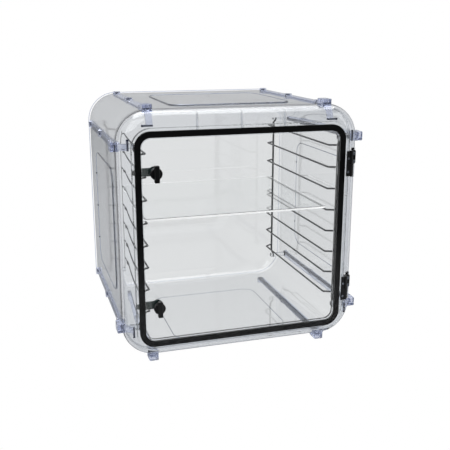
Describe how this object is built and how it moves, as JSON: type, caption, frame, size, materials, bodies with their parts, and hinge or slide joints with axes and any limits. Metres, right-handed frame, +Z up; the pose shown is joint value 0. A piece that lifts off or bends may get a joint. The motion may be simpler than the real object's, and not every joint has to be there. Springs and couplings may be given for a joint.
{
  "type": "desiccator cabinet",
  "caption": "Square clear plastic desiccator cabinet with a gasketed hinged door, quarter-turn latches, wire shelf racks, a clear shelf and moulded corner rails.",
  "frame": {"origin": "middle of the bounding box at the level the bottom lugs stand on", "axes": "+X to the right seen from the door side, -Y out through the door, +Z up"},
  "size_m": [0.433, 0.399, 0.433],
  "materials": {
    "clear_shell": "clear moulded polycarbonate, glossy",
    "clear_frame": "clear moulded polycarbonate, glossy",
    "clear_rail": "clear moulded plastic with a blue cast, glossy",
    "clear_door": "clear flat acrylic sheet, glossy",
    "clear_shelf": "clear flat acrylic sheet, glossy",
    "black_rubber": "moulded sponge rubber, matt",
    "black_moulding": "moulded nylon, satin",
    "black_knob": "moulded nylon, satin",
    "pawl_moulding": "moulded nylon, satin",
    "black_wire": "steel wire dipped in black plastic, satin",
    "dark_screw": "blackened steel",
    "steel_pin": "drawn steel"
  },
  "bodies": {
    "cabinet": {"body_shell": "clear_shell", "front_frame": "clear_frame", "rail_top_right": "clear_rail", "rail_top_left": "clear_rail", "rail_right_upper": "clear_rail", "rail_right_lower": "clear_rail", "rail_bottom_left": "clear_rail", "rail_bottom_right": "clear_rail", "rail_left_upper": "clear_rail", "rail_left_lower": "clear_rail", "rail_screws_top": "dark_screw", "rail_screws_right": "dark_screw", "rail_screws_bottom": "dark_screw", "rail_screws_left": "dark_screw", "rail_pins_top": "dark_screw", "rail_pins_right": "dark_screw", "rail_pins_bottom": "dark_screw", "rail_pins_left": "dark_screw", "hinge_frame_leaf_upper": "black_moulding", "hinge_frame_leaf_lower": "black_moulding", "hinge_pin_upper": "steel_pin", "hinge_pin_lower": "steel_pin", "hinge_frame_screws": "dark_screw", "rack_uprights_left": "black_wire", "rack_uprights_right": "black_wire", "rack_rungs_left": "black_wire", "rack_rungs_right": "black_wire"},
    "door": {"door_panel": "clear_door", "door_gasket": "black_rubber", "hinge_door_leaf_upper": "black_moulding", "hinge_door_leaf_lower": "black_moulding", "hinge_door_screws": "dark_screw", "latch_bush_upper": "black_moulding", "latch_bush_lower": "black_moulding"},
    "latch_upper": {"latch_knob_upper": "black_knob", "latch_spindle_upper": "steel_pin", "latch_pawl_upper": "pawl_moulding", "latch_nut_upper": "dark_screw"},
    "latch_lower": {"latch_knob_lower": "black_knob", "latch_spindle_lower": "steel_pin", "latch_pawl_lower": "pawl_moulding", "latch_nut_lower": "dark_screw"},
    "shelf": {"shelf": "clear_shelf"}
  },
  "joints": [
    {"name": "door_hinge", "type": "hinge", "parent": "cabinet", "child": "door", "pos_m": [0.1875, -0.1845, 0.2135], "axis": [0, 0, 1], "range_deg": [0, 165]},
    {"name": "latch_upper_turn", "type": "hinge", "parent": "door", "child": "latch_upper", "pos_m": [-0.15, -0.1765, 0.3275], "axis": [0, 1, 0], "range_deg": [0, 90]},
    {"name": "latch_lower_turn", "type": "hinge", "parent": "door", "child": "latch_lower", "pos_m": [-0.15, -0.1765, 0.1035], "axis": [0, 1, 0], "range_deg": [0, 90]},
    {"name": "shelf_slide", "type": "slide", "parent": "cabinet", "child": "shelf", "axis": [0, -1, 0], "range_m": [0, 0.012]}
  ]
}
